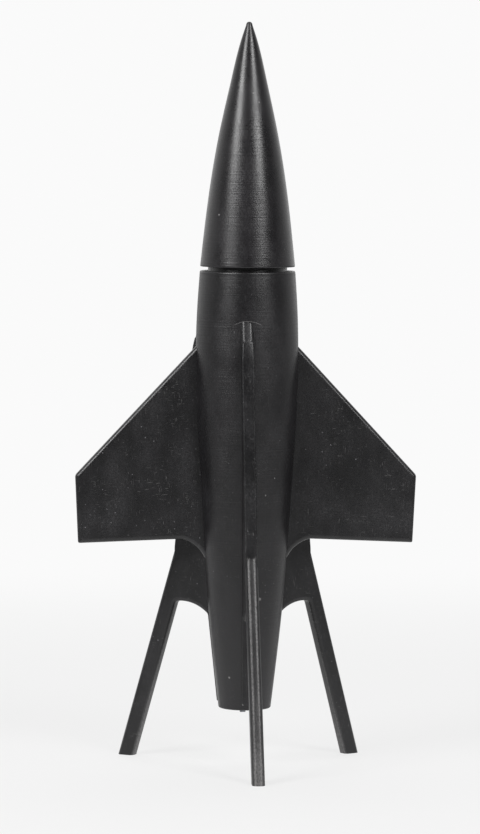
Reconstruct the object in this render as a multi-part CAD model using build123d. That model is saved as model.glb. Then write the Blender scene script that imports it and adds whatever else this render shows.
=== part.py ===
"""Three-legged model rocket: turned hollow body and nose, flat plate wings and legs, 24 mm motor mount.

Frame: millimetres, +Z up along the rocket's axis, origin on the axis at the mouth of the motor tube.
The wings lie along X, the front leg points to -Y and the two rear legs spread 30 degrees behind X.
While it is built, heights count from the ground that the feet stand on; main() then moves every
piece down so that the motor tube's mouth is at height 0.
"""

import os

from build123d import *

# Turned outside shapes: (radius, height) stations from the top down
BODY_STATIONS = [
    (26.2, 272.9),
    (27.45, 254.3),
    (28.1, 236.0),
    (26.8, 180.0),
    (22.7, 117.4),
    (20.2, 84.4),
    (17.5, 58.5),
    (14.4, 31.6),
]
NOSE_STATIONS = [(26.1, 275.3), (22.0, 311.5), (15.5, 351.1), (9.7, 377.5), (4.3, 399.5), (1.75, 407.2)]
NOSE_BASE_SLOPE = (-0.11, 1)
BODY_TOP = BODY_STATIONS[0][1]
TAIL_RADIUS, TAIL_HEIGHT = BODY_STATIONS[-1]
NOSE_BASE = NOSE_STATIONS[0][1]
NOSE_TIP = 409.1
RIM_ROUND = 0.7
SEAM_AZIMUTH = -45.0

# Hollow inside of the body and the nose
SHELL_WALL = 3.0
CAVITY_STATIONS = [(radius - SHELL_WALL, height) for radius, height in BODY_STATIONS[2:7]]
CAVITY_FLOOR = CAVITY_STATIONS[-1][1]
BAY_FLOOR = 150.0
LINER_RADIUS = 21.8
LINER_WALL = 0.5
LINER_RECESS = 0.5
NOSE_CAVITY_STATIONS = [(radius - SHELL_WALL, height) for radius, height in NOSE_STATIONS[:3]]
NOSE_CAVITY_TOP = 372.0
NOSE_CAVITY_TOP_RADIUS = 8.0

# Nose shoulder and what it holds
SHOULDER_RADIUS = 21.75
SHOULDER_WALL = 3.0
SHOULDER_BOTTOM = 240.0
SHOULDER_SOCKET = 10.0
STOP_GAP = 0.1
STOP_HEIGHT = 4.0
STOP_WIDTH = 3.3
BULKHEAD_BOTTOM = 242.0
BULKHEAD_THICKNESS = 3.0
EYE_RING = 4.0
EYE_WIRE = 0.9
EYE_SHANK = 1.2
EYE_SHANK_LENGTH = 9.0
WEIGHT_RADIUS = 7.4
WEIGHT_LENGTH = 15.0
SCREW_RADIUS = 2.0
SCREW_LENGTH = 28.0
SCREW_HEAD_RADIUS = 3.8
SCREW_HEAD_HEIGHT = 2.2

# Motor mount for a 24 mm motor, 70 mm long
MOTOR_BORE = 12.05
MOTOR_TUBE_WALL = 0.35
MOTOR_TUBE_BOTTOM = 32.6
MOTOR_TUBE_OUTSIDE = MOTOR_BORE + MOTOR_TUBE_WALL
MOTOR_BOTTOM = 28.2
MOTOR_LENGTH = 70.0
MOTOR_END_PLAY = 0.2
THRUST_RING_BORE = 9.5
THRUST_RING_LENGTH = 6.0
BLAST_TUBE_BORE = 11.4
BLAST_TUBE_TOP = 156.0
RING_THICKNESS = 4.0
MIDDLE_RING_BOTTOM = 103.6

# Spring clip that keeps the motor in
HOOK_WIDTH = 3.0
HOOK_THICKNESS = 0.8
HOOK_GAP = 0.35
HOOK_LIP_REACH = 10.4
HOOK_TAB_REACH = 12.15
HOOK_ROOM = 0.4
HOOK_TRAVEL_ROOM = 2.7
HOOK_SLOT_TOP = 64.5
HOOK_PIVOT = 96.0
BAND_BELOW_PIVOT = 3.0
BAND_ABOVE_PIVOT = 2.0
BAND_WALL = 0.6

# Flat plates
WING_THICKNESS = 6.35
LEG_THICKNESS = 7.0
PLATE_ROUND = 2.3
WING_ROUND_FROM = 24.0
LEG_ROUND_FROM = 23.5
WING_TIP_RUN = 1.35
TAB_INSET = 9.0
TAB_START = 12.0
TAB_DEPTH = 20.0
FOOT_TRIM = 2.0
REAR_LEG_AZIMUTH = 30.0
FRONT_LEG_LEAN = 0.85
FRONT_LEG_LEAN_HEIGHT = 85.0
RIB_HEIGHT = 1.4
RIB_BOTTOM = 34.5

# Launch lugs on the back
LUG_BORE = 2.5
LUG_WALL = 0.5
LUG_LENGTH = 28.0
LUG_OFFSET = 32.0
LUG_BOTTOMS = {"upper": 222.0, "lower": 118.0}
LUG_BLOCK_WIDTH = 5.0
LUG_BLOCK_START = 18.0

# How far a cutting tool runs past the face it cuts
OVERRUN = 1.0


def chain(*points: tuple) -> list:
    """Straight edges through the points."""
    return [Line(start, end) for start, end in zip(points, points[1:])]


def turned(stations: list, *corners: tuple, tangents: tuple = ()) -> Solid:
    """Turn a smooth curve through the stations, closed by straight lines through the corners."""
    curve = Spline(*stations, tangents=tangents)
    face = make_face([curve, *chain(stations[-1], *corners, stations[0])])
    return Rot(0, 0, SEAM_AZIMUTH) * revolve(Plane.XZ * face, Axis.Z)


def pipe(inside: float, outside: float, bottom: float, top: float):
    """A round tube on the rocket's axis."""
    height = top - bottom
    align = (Align.CENTER, Align.CENTER, Align.MIN)
    tube = Cylinder(outside, height, align=align)
    if inside > 0:
        tube -= Cylinder(inside, height, align=align)
    return Pos(0, 0, bottom) * tube


def block(x_half: float, y_low: float, y_high: float, bottom: float, top: float):
    """A box centred on x = 0, between two depths and two heights."""
    size = Box(2 * x_half, y_high - y_low, top - bottom, align=(Align.CENTER, Align.MIN, Align.MIN))
    return Pos(0, y_low, bottom) * size


def screw_eye():
    """A wire ring that hangs under a straight shank; the wood's face is at height 0."""
    ring = Pos(0, 0, -EYE_RING - EYE_WIRE) * (Rot(90, 0, 0) * Torus(EYE_RING, EYE_WIRE))
    return ring + pipe(0, EYE_SHANK, -EYE_WIRE, EYE_SHANK_LENGTH)


# ---------------------------------------------------------------- body shell

def body_blank():
    """The body's outside shape as one solid, with its two rims eased."""
    blank = turned(BODY_STATIONS, (0, TAIL_HEIGHT), (0, BODY_TOP))
    rims = blank.edges().filter_by(GeomType.CIRCLE)
    rims = [edge for edge in rims if edge.radius > TAIL_RADIUS - 0.1]
    return fillet(rims, RIM_ROUND)


def body_hollow():
    """Everything that is bored out of the body: tapered cavity, parachute bay and tail bore."""
    cavity = turned(CAVITY_STATIONS, (0, CAVITY_FLOOR), (0, CAVITY_STATIONS[0][1]))
    cavity -= pipe(0, BODY_TOP, BAY_FLOOR - RING_THICKNESS, BODY_TOP)
    bay = pipe(0, LINER_RADIUS + LINER_WALL, BAY_FLOOR - RING_THICKNESS, BODY_TOP + OVERRUN)
    tail = pipe(0, MOTOR_TUBE_OUTSIDE, TAIL_HEIGHT - OVERRUN, CAVITY_FLOOR + OVERRUN)
    return cavity, cavity + bay + tail


# ---------------------------------------------------------------- flat plates

def plate(edges: list, thickness: float, round_from: float):
    """Extrude an outline, and round its edges that lie above the feet and further out than round_from."""
    flat = extrude(Plane.XZ * make_face(edges), thickness / 2, both=True)
    rims = flat.faces().filter_by(Axis.Y).edges()
    rims = [edge for edge in rims if edge.center().X > round_from and edge.center().Z > 0]
    return fillet(rims, PLATE_ROUND)


def tab(bottom: float, top: float, thickness: float):
    """The part of a plate that passes through the body's wall."""
    through = Box(TAB_DEPTH, thickness, top - bottom, align=(Align.MIN, Align.CENTER, Align.MIN))
    return Pos(TAB_START, 0, bottom) * through


def wing_parts():
    """A wing that points along +X, and its root tab."""
    leading_inner = (20.0, 240.2)
    leading_tip = (94.3, 160.5)
    trailing_tip = (92.5, 123.0)
    trailing_inner = (35.5, 125.2)
    root_middle = (28.7, 122.0)
    root_end = (23.0, 115.3)
    inside_end = (19.0, 110.2)
    inside = 15.0
    leading = Vector(*leading_tip)
    before = leading + (Vector(*leading_inner) - leading).normalized() * WING_TIP_RUN
    after = leading + (Vector(*trailing_tip) - leading).normalized() * WING_TIP_RUN
    edges = [
        *chain(leading_inner, (before.X, before.Y)),
        TangentArc((before.X, before.Y), (after.X, after.Y), tangent=before - Vector(*leading_inner)),
        *chain((after.X, after.Y), trailing_tip, trailing_inner),
        ThreePointArc(trailing_inner, root_middle, root_end),
        *chain(root_end, inside_end, (inside, inside_end[1]), (inside, leading_inner[1]), leading_inner),
    ]
    wing = plate(edges, WING_THICKNESS, WING_ROUND_FROM)
    return wing, tab(root_end[1] + TAB_INSET, leading_inner[1] - 2 * TAB_INSET, WING_THICKNESS)


def leg_parts():
    """A leg that points along +X: strake, strut, web arch and the low rib down the tail; and its tab.

    The strut is drawn longer than it is, so that the foot can be trimmed level after the leg is placed.
    """
    strake_root = (22.0, 262.0)
    strake_top = (27.9, 245.5)
    strake_shoulder = (32.2, 230.0)
    kink = (42.3, 118.5)
    foot_outer = (77.79, -FOOT_TRIM)
    foot_inner = (68.09, -FOOT_TRIM)
    strut_inner = (42.6, 84.8)
    strut_run = (strut_inner[0] - foot_inner[0], strut_inner[1] - foot_inner[1])
    arch_corner = (39.6, 88.6)
    arch_middle = (31.5, 87.7)
    arch_end = (20.3 + RIB_HEIGHT, 82.0)
    rib_end = (14.75 + RIB_HEIGHT, RIB_BOTTOM)
    inside = 12.0
    edges = [
        *chain(strake_root, strake_top, strake_shoulder, kink, foot_outer, foot_inner, strut_inner),
        TangentArc(strut_inner, arch_corner, tangent=strut_run),
        ThreePointArc(arch_corner, arch_middle, arch_end),
        *chain(arch_end, rib_end, (inside, RIB_BOTTOM), (inside, strake_root[1]), strake_root),
    ]
    leg = plate(edges, LEG_THICKNESS, LEG_ROUND_FROM)
    return leg, tab(arch_end[1] + TAB_INSET, strake_top[1] - TAB_INSET, LEG_THICKNESS)


def build_airframe() -> dict:
    """Body shell with its slots, and the five plates that stand in them."""
    lean = Pos(0, 0, FRONT_LEG_LEAN_HEIGHT) * Rot(FRONT_LEG_LEAN, 0, 0) * Pos(0, 0, -FRONT_LEG_LEAN_HEIGHT)
    places = {
        "right_wing": (wing_parts, Rot(0, 0, 0)),
        "left_wing": (wing_parts, Rot(0, 0, 180)),
        "front_leg": (leg_parts, Rot(0, 0, -90) * lean),
        "rear_right_leg": (leg_parts, Rot(0, 0, REAR_LEG_AZIMUTH)),
        "rear_left_leg": (leg_parts, Rot(0, 0, 180 - REAR_LEG_AZIMUTH)),
    }
    cavity, hollow = body_hollow()
    shell = body_blank() - hollow - hook_slot()
    plates = {}
    for name, (make, place) in places.items():
        flat, root_tab = make()
        plates[name] = place * flat
        shell -= place * root_tab
    below_ground = pipe(0, 2 * NOSE_TIP, -2 * FOOT_TRIM, 0)
    parts = {name: flat - shell - hollow - below_ground for name, flat in plates.items()}
    parts["body_shell"] = shell
    for name, bottom in (("middle_ring", MIDDLE_RING_BOTTOM), ("tail_ring", CAVITY_FLOOR)):
        disc = pipe(MOTOR_TUBE_OUTSIDE, BODY_TOP, bottom, bottom + RING_THICKNESS)
        parts[name] = disc & cavity
    parts["tail_ring"] -= hook_slot()
    return parts


# ---------------------------------------------------------------- motor mount

def hook_heights() -> tuple:
    """Undersides of the hook's lower lip and of its upper tab."""
    return MOTOR_BOTTOM - MOTOR_END_PLAY - HOOK_THICKNESS, MOTOR_BOTTOM + MOTOR_LENGTH + MOTOR_END_PLAY


def hook_slot():
    """Room for the hook to flex, cut through the tail and the ring above it."""
    inside = MOTOR_TUBE_OUTSIDE - OVERRUN
    outside = MOTOR_TUBE_OUTSIDE + HOOK_GAP + HOOK_THICKNESS + HOOK_TRAVEL_ROOM
    return block(HOOK_WIDTH / 2 + HOOK_ROOM, inside, outside, TAIL_HEIGHT - OVERRUN, HOOK_SLOT_TOP)


def build_motor_mount() -> dict:
    """Motor tube, the thrust ring on its end, the blast tube above it, the spring hook and its band."""
    lip, upper = hook_heights()
    thrust_bottom = upper + HOOK_THICKNESS + HOOK_ROOM
    thrust_top = thrust_bottom + THRUST_RING_LENGTH
    inner = MOTOR_TUBE_OUTSIDE + HOOK_GAP
    outer = inner + HOOK_THICKNESS
    half = HOOK_WIDTH / 2
    hook = block(half, inner, outer, lip, upper + HOOK_THICKNESS)
    hook += block(half, HOOK_LIP_REACH, outer, lip, lip + HOOK_THICKNESS)
    hook += block(half, HOOK_TAB_REACH, outer, upper, upper + HOOK_THICKNESS)
    notch = block(half + HOOK_ROOM, MOTOR_BORE - OVERRUN, outer, upper - HOOK_ROOM, thrust_bottom + OVERRUN)
    tube = pipe(MOTOR_BORE, MOTOR_TUBE_OUTSIDE, MOTOR_TUBE_BOTTOM, thrust_bottom) - notch
    low = HOOK_PIVOT - BAND_BELOW_PIVOT
    high = HOOK_PIVOT + BAND_ABOVE_PIVOT
    band = pipe(0, MOTOR_TUBE_OUTSIDE + BAND_WALL, low, high)
    pocket = half + HOOK_ROOM
    band += block(pocket + BAND_WALL, 0, outer + HOOK_ROOM + BAND_WALL, low, high)
    band -= block(pocket, 0, outer + HOOK_ROOM, low, high)
    band -= pipe(0, MOTOR_TUBE_OUTSIDE, low, high)
    return {
        "motor_tube": tube,
        "thrust_ring": pipe(THRUST_RING_BORE, MOTOR_TUBE_OUTSIDE, thrust_bottom, thrust_top),
        "blast_tube": pipe(BLAST_TUBE_BORE, MOTOR_TUBE_OUTSIDE, thrust_top, BLAST_TUBE_TOP),
        "motor_hook": hook,
        "hook_band": band,
    }


# ---------------------------------------------------------------- parachute bay and nose

def build_bay() -> dict:
    """Liner, ring and stop of the parachute bay, and the eye that the recovery cord ties to."""
    eye_offset = (MOTOR_TUBE_OUTSIDE + LINER_RADIUS) / 2
    eye = Pos(eye_offset, 0, BAY_FLOOR) * Rot(180, 0, 90) * screw_eye()
    outside = LINER_RADIUS + LINER_WALL
    ring = pipe(MOTOR_TUBE_OUTSIDE, outside, BAY_FLOOR - RING_THICKNESS, BAY_FLOOR)
    stop_top = SHOULDER_BOTTOM - STOP_GAP
    return {
        "bay_liner": pipe(LINER_RADIUS, outside, BAY_FLOOR, BODY_TOP - LINER_RECESS),
        "shoulder_stop": pipe(LINER_RADIUS - STOP_WIDTH, LINER_RADIUS, stop_top - STOP_HEIGHT, stop_top),
        "forward_ring": ring - eye,
        "anchor_screw_eye": eye,
    }


def build_nose() -> dict:
    """Hollow nose cone with its shoulder, bulkhead, screw eye and tip weight."""
    shoulder_top = NOSE_BASE + SHOULDER_SOCKET
    cone = turned([*NOSE_STATIONS, (0, NOSE_TIP)], (0, NOSE_BASE), tangents=(NOSE_BASE_SLOPE, (-1, 0)))
    rim = [edge for edge in cone.edges().filter_by(GeomType.CIRCLE) if edge.radius > SHOULDER_RADIUS]
    cone = fillet(rim, RIM_ROUND)
    stations = [*NOSE_CAVITY_STATIONS, (NOSE_CAVITY_TOP_RADIUS, NOSE_CAVITY_TOP)]
    cone -= turned(stations, (0, NOSE_CAVITY_TOP), (0, NOSE_BASE))
    cone -= pipe(0, SHOULDER_RADIUS, NOSE_BASE - OVERRUN, shoulder_top)
    weight_bottom = NOSE_CAVITY_TOP - WEIGHT_LENGTH
    screw = pipe(0, SCREW_RADIUS, weight_bottom, weight_bottom + SCREW_LENGTH)
    screw += pipe(0, SCREW_HEAD_RADIUS, weight_bottom - SCREW_HEAD_HEIGHT, weight_bottom)
    eye = Pos(0, 0, BULKHEAD_BOTTOM) * screw_eye()
    bore = SHOULDER_RADIUS - SHOULDER_WALL
    return {
        "nose_cone": cone - screw,
        "nose_shoulder": pipe(bore, SHOULDER_RADIUS, SHOULDER_BOTTOM, shoulder_top),
        "nose_bulkhead": pipe(0, bore, BULKHEAD_BOTTOM, BULKHEAD_BOTTOM + BULKHEAD_THICKNESS) - eye,
        "nose_screw_eye": eye,
        "nose_weight": pipe(0, WEIGHT_RADIUS, weight_bottom, NOSE_CAVITY_TOP) - screw,
        "nose_weight_screw": screw,
    }


# ---------------------------------------------------------------- launch lugs

def build_lugs() -> dict:
    """Two tubes in line for the launch rod, each on a block that is shaped to the body."""
    blank = body_blank()
    outside = LUG_BORE + LUG_WALL
    parts = {}
    for name, bottom in LUG_BOTTOMS.items():
        top = bottom + LUG_LENGTH
        spacer = block(LUG_BLOCK_WIDTH / 2, LUG_BLOCK_START, LUG_OFFSET, bottom, top) - blank
        parts[f"{name}_lug_block"] = spacer - Pos(0, LUG_OFFSET, 0) * pipe(0, outside, bottom, top)
        parts[f"{name}_launch_lug"] = Pos(0, LUG_OFFSET, 0) * pipe(LUG_BORE, outside, bottom, top)
    return parts


def main() -> None:
    """Build every piece and write one STEP file for each."""
    os.makedirs("parts", exist_ok=True)
    parts = build_airframe() | build_motor_mount() | build_bay() | build_nose() | build_lugs()
    for name, shape in parts.items():
        solids = (Pos(0, 0, -MOTOR_TUBE_BOTTOM) * shape).solids()
        body = solids[0] if len(solids) == 1 else Compound(solids)
        body.label = name
        export_step(body, f"parts/{name}.step")


main()
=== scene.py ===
"""Finished looks of the model rocket: turned nose and body, cut plates, launch gear and the studio."""

import logging
import math
from dataclasses import dataclass, field
from enum import Enum

import bmesh
import bpy
import numpy as np
from mathutils import Matrix, Vector


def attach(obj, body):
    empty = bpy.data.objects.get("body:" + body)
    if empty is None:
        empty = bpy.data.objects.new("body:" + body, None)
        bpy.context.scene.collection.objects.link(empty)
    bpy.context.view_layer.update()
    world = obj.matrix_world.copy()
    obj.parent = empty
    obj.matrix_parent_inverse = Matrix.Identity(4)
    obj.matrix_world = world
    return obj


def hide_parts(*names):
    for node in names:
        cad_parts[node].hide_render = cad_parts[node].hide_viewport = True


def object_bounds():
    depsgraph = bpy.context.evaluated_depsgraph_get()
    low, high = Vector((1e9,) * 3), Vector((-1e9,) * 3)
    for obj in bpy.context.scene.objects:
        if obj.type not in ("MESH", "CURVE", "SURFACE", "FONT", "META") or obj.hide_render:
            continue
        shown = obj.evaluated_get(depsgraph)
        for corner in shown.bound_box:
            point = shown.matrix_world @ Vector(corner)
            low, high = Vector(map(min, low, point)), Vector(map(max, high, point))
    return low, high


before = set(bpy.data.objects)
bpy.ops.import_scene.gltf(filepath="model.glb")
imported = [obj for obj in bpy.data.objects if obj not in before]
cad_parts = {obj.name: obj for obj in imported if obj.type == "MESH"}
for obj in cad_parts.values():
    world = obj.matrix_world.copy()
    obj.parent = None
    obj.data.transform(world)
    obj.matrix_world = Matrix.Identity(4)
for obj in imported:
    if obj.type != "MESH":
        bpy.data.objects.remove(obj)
CAD_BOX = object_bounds()

log = logging.getLogger("rocket")
MM = 0.001
GROUND = CAD_BOX[0].z
TAU = 2 * math.pi
MERGE_DISTANCE = 2e-7
CUT_TOLERANCE = 1e-7

Pair = tuple[float, float]
Triple = tuple[float, float, float]
Spot = tuple[float, float, float, float]
Socket = bpy.types.NodeSocket
Value = Socket | float | tuple


class Body(Enum):
    """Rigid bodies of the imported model."""

    AIRFRAME = "airframe"
    NOSE = "nose"
    HOOK = "hook"


# ------------------------------------------------------------------ curves and meshes


def natural_spline(stations: list[Pair], count: int) -> np.ndarray:
    """Sample a smooth curve through a few stations.

    Each coordinate is a natural cubic spline over the running chord length: the second
    derivatives at the stations come from one linear system, and are zero at both ends.

    Args:
        stations: points (radius, height) that the curve passes through.
        count: number of samples, evenly spaced along the chords.

    Returns:
        The sampled points, one row each.
    """
    points = np.array(stations, float)
    knots = np.concatenate([[0.0], np.cumsum(np.linalg.norm(np.diff(points, axis=0), axis=1))])
    steps = np.diff(knots)
    size = len(points)
    system = np.eye(size)
    inner = np.arange(1, size - 1)
    system[inner, inner - 1] = steps[:-1]
    system[inner, inner] = 2 * (steps[:-1] + steps[1:])
    system[inner, inner + 1] = steps[1:]
    slopes = np.diff(points, axis=0) / steps[:, None]
    right = np.zeros_like(points)
    right[1:-1] = 6 * np.diff(slopes, axis=0)
    bend = np.linalg.solve(system, right)
    at = np.linspace(0, knots[-1], count)
    span = np.clip(np.searchsorted(knots, at, side="right") - 1, 0, size - 2)
    width = steps[span][:, None]
    before = (at - knots[span])[:, None]
    after = width - before
    return (
        bend[span] * after**3 / (6 * width)
        + bend[span + 1] * before**3 / (6 * width)
        + (points[span] / width - bend[span] * width / 6) * after
        + (points[span + 1] / width - bend[span + 1] * width / 6) * before
    )


def line(start: Pair, end: Pair, count: int) -> np.ndarray:
    """Even samples from start up to, but without, end."""
    share = np.linspace(0, 1, count, endpoint=False)[:, None]
    return np.array(start) * (1 - share) + np.array(end) * share


def arc(start: Pair, middle: Pair, end: Pair, count: int) -> np.ndarray:
    """Sample the circle through three points evenly, from start up to, but without, end.

    The centre is where the two perpendicular bisectors meet; the angle then runs evenly from
    start to end on the side of the middle point.

    Args:
        start: the first point (reach, height).
        middle: any point of the arc between the two others.
        end: the last point, which isn't sampled.
        count: number of samples.

    Returns:
        The sampled points, one row each.
    """
    first, second, third = (np.array(point, float) for point in (start, middle, end))
    sides = np.array([second - first, third - first])
    halves = np.array([(second @ second - first @ first) / 2, (third @ third - first @ first) / 2])
    centre = np.linalg.solve(sides, halves)
    radius = np.linalg.norm(first - centre)
    angles = [math.atan2(*(point - centre)[::-1]) for point in (first, second, third)]
    turn = (angles[2] - angles[0]) % TAU
    if (angles[1] - angles[0]) % TAU > turn:
        turn -= TAU
    sweep = angles[0] + np.linspace(0, turn, count, endpoint=False)
    return centre + radius * np.column_stack([np.cos(sweep), np.sin(sweep)])


def make_object(name: str, vertices: np.ndarray, faces: list, smooth: bool = True) -> bpy.types.Object:
    """Make a closed mesh object at the origin, with doubles merged and faces turned outwards.

    Args:
        name: the piece's name.
        vertices: one row (x, y, z) for each vertex, in metres.
        faces: lists of vertex numbers.
        smooth: whether the faces are shaded smooth.

    Returns:
        The new object, linked to the scene.
    """
    mesh = bpy.data.meshes.new(name)
    mesh.from_pydata(vertices, [], faces)
    work = bmesh.new()
    work.from_mesh(mesh)
    bmesh.ops.remove_doubles(work, verts=work.verts, dist=MERGE_DISTANCE)
    bmesh.ops.recalc_face_normals(work, faces=work.faces)
    work.to_mesh(mesh)
    work.free()
    mesh.polygons.foreach_set("use_smooth", [smooth] * len(mesh.polygons))
    piece = bpy.data.objects.new(name, mesh)
    bpy.context.scene.collection.objects.link(piece)
    return piece


def trim_level(piece: bpy.types.Object, height: float) -> None:
    """Cut away what lies under a height, and close the cut with flat faces that have sharp rims.

    Args:
        piece: the closed piece to cut.
        height: height of the cut, in metres.
    """
    work = bmesh.new()
    work.from_mesh(piece.data)
    cut = bmesh.ops.bisect_plane(
        work,
        geom=[*work.verts, *work.edges, *work.faces],
        dist=CUT_TOLERANCE,
        plane_co=(0, 0, height),
        plane_no=(0, 0, -1),
        clear_outer=True,
    )
    rim = [item for item in cut["geom_cut"] if isinstance(item, bmesh.types.BMEdge)]
    if rim:
        closed = bmesh.ops.edgenet_fill(work, edges=rim)
        for edge in rim:
            edge.smooth = False
        bmesh.ops.recalc_face_normals(work, faces=work.faces)
        log.info("%s: trimmed level with %d faces", piece.name, len(closed["faces"]))
    work.to_mesh(piece.data)
    work.free()


def grid_faces(rows: int, columns: int, close_rows: bool) -> np.ndarray:
    """Number the corners of the quads of a grid whose columns wrap round.

    Args:
        rows: number of rows of vertices.
        columns: number of vertices in a row.
        close_rows: whether the last row joins the first.

    Returns:
        Four vertex numbers for each quad.
    """
    row_count = rows if close_rows else rows - 1
    row, column = np.meshgrid(np.arange(row_count), np.arange(columns), indexing="ij")
    next_row = (row + 1) % rows
    next_column = (column + 1) % columns
    corners = (row * columns + column, next_row * columns + column)
    corners += (next_row * columns + next_column, row * columns + next_column)
    return np.stack([corner.ravel() for corner in corners], axis=1)


def revolve(name: str, section: np.ndarray, columns: int) -> bpy.types.Object:
    """Carry a closed section once round the axis.

    A vertex is (radius cos a, radius sin a, height) for even angles a.

    Args:
        name: the piece's name.
        section: the points (radius, height) of the section, in metres.
        columns: number of steps round the axis.

    Returns:
        The new object.
    """
    angle = np.arange(columns) * TAU / columns
    radius = section[:, :1]
    x = radius * np.cos(angle)
    y = radius * np.sin(angle)
    z = np.broadcast_to(section[:, 1:], x.shape)
    vertices = np.stack([x, y, z], axis=2).reshape(-1, 3)
    return make_object(name, vertices, grid_faces(len(section), columns, True).tolist())


def eased(corners: list[Pair], ease: float, steps: int = 4) -> np.ndarray:
    """Round each corner of a closed section by a small curve.

    A corner becomes the quadratic curve from a point before it to a point after it, both at the
    ease distance (or a third of the side, if that is less), with the corner as its control point.

    Args:
        corners: the corners (radius, height) in order.
        ease: how far from a corner its curve begins.
        steps: samples on each curve.

    Returns:
        The points of the rounded section, one row each.
    """
    points = np.array(corners, float)
    before = np.roll(points, 1, axis=0) - points
    after = np.roll(points, -1, axis=0) - points
    reach = [np.minimum(ease, np.linalg.norm(side, axis=1) / 3)[:, None] for side in (before, after)]
    start = points + before / np.linalg.norm(before, axis=1)[:, None] * reach[0]
    end = points + after / np.linalg.norm(after, axis=1)[:, None] * reach[1]
    share = np.linspace(0, 1, steps)[None, :, None]
    rest = 1 - share
    curve = start[:, None] * rest**2 + 2 * points[:, None] * share * rest + end[:, None] * share**2
    return curve.reshape(-1, 2)


def finish_piece(
    piece: bpy.types.Object, body: Body, material: bpy.types.Material, slot: str, *nodes: str
) -> None:
    """Give a new piece its material and its body, and hide the CAD nodes that it stands for.

    Args:
        piece: the finished mesh object.
        body: the rigid body that it moves with.
        material: its finish.
        slot: not used.
        nodes: the CAD nodes that it replaces.
    """
    piece.data.materials.append(material)
    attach(piece, body.value)
    if nodes:
        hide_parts(*nodes)
    log.info("%s: %d faces on %s", piece.name, len(piece.data.polygons), body.value)


# ------------------------------------------------------------------ finishes


class Graph:
    """A short way to write a material's nodes."""

    def __init__(self, name: str) -> None:
        """Start an empty node material with its output and shader."""
        self.material = bpy.data.materials.new(name)
        self.material.use_nodes = True
        self.tree = self.material.node_tree
        self.tree.nodes.clear()
        self.output = self.tree.nodes.new("ShaderNodeOutputMaterial")
        self.shader = self.tree.nodes.new("ShaderNodeBsdfPrincipled")
        self.tree.links.new(self.shader.outputs[0], self.output.inputs[0])
        coordinates = self.tree.nodes.new("ShaderNodeTexCoord")
        self.place = coordinates.outputs["Object"]

    def node(self, kind: str, inputs: dict | None = None, **settings: object) -> bpy.types.Node:
        """Add a node.

        Args:
            kind: node type without the ShaderNode prefix.
            inputs: sockets to set or to link, by name or number.
            settings: attributes of the node.

        Returns:
            The new node.
        """
        made = self.tree.nodes.new("ShaderNode" + kind)
        for key, value in settings.items():
            setattr(made, key, value)
        for key, value in (inputs or {}).items():
            self.set(made, key, value)
        return made

    def set(self, node: bpy.types.Node, key: str | int, value: Value) -> None:
        """Link a socket to an input, or give the input a plain value.

        Args:
            node: the node that has the input.
            key: the input's name or number.
            value: a socket, a number or a colour.
        """
        if isinstance(value, Socket):
            self.tree.links.new(value, node.inputs[key])
        else:
            node.inputs[key].default_value = value

    def axis(self, number: int) -> Socket:
        """One of the object coordinates: 0 for x, 1 for y, 2 for z."""
        return self.node("SeparateXYZ", {0: self.place}).outputs[number]

    def distance(self, place: Triple) -> Socket:
        """Distance from a place in object coordinates."""
        return self.node("VectorMath", {0: self.place, 1: place}, operation="DISTANCE").outputs["Value"]

    def math(self, operation: str, first: Value, second: Value = 0.0, clamp: bool = False) -> Socket:
        """Result of a Math node."""
        made = self.node("Math", {0: first, 1: second}, operation=operation, use_clamp=clamp)
        return made.outputs[0]

    def stretched(self, scale: Triple, turn: Triple = (0, 0, 0)) -> Socket:
        """Object coordinates turned, then scaled."""
        made = self.node("Mapping", {"Vector": self.place, "Scale": scale, "Rotation": turn})
        return made.outputs[0]

    def noise(self, vector: Socket, scale: float, detail: float = 4.0, roughness: float = 0.5) -> Socket:
        """Value of a noise texture."""
        inputs = {"Vector": vector, "Scale": scale, "Detail": detail, "Roughness": roughness}
        return self.node("TexNoise", inputs).outputs[0]

    def ramp(
        self, value: Value, low: float, high: float, out_low: float = 0.0, out_high: float = 1.0
    ) -> Socket:
        """Smooth step of value from low to high, carried to the out range."""
        inputs = {"Value": value, "From Min": low, "From Max": high, "To Min": out_low, "To Max": out_high}
        return self.node("MapRange", inputs, interpolation_type="SMOOTHSTEP").outputs[0]

    def mix(self, share: Value, first: Value, second: Value) -> Socket:
        """Colour mix of two sockets or colours."""
        made = self.node("Mix", data_type="RGBA")
        self.set(made, 0, share)
        self.set(made, 6, first)
        self.set(made, 7, second)
        return made.outputs[2]

    def blend(self, share: Value, first: Value, second: Value) -> Socket:
        """Number mix of two sockets or values."""
        return self.node("Mix", {0: share, 2: first, 3: second}, data_type="FLOAT").outputs[0]

    def attribute(self, name: str) -> Socket:
        """Value of a mesh attribute."""
        return self.node("Attribute", attribute_name=name).outputs["Fac"]

    def bump(self, height: Value, distance: float, under: Socket | None = None) -> Socket:
        """Make a bump normal from a height.

        Args:
            height: the height, from 0 to about 1.
            distance: how deep a height of 1 is, in metres.
            under: the normal that it is laid over.

        Returns:
            The new normal.
        """
        made = self.node("Bump", {"Height": height, "Distance": distance, "Strength": 1.0})
        if under is not None:
            self.set(made, "Normal", under)
        return made.outputs[0]

    def largest(self, *values: Value) -> Value:
        """The largest of several values."""
        result = values[0]
        for value in values[1:]:
            result = self.math("MAXIMUM", result, value)
        return result


class Marks(Enum):
    """Tool marks that show through the lacquer."""

    LATHE = "fine rings round the axis"
    SHEET = "flat cut sheet"


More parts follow.
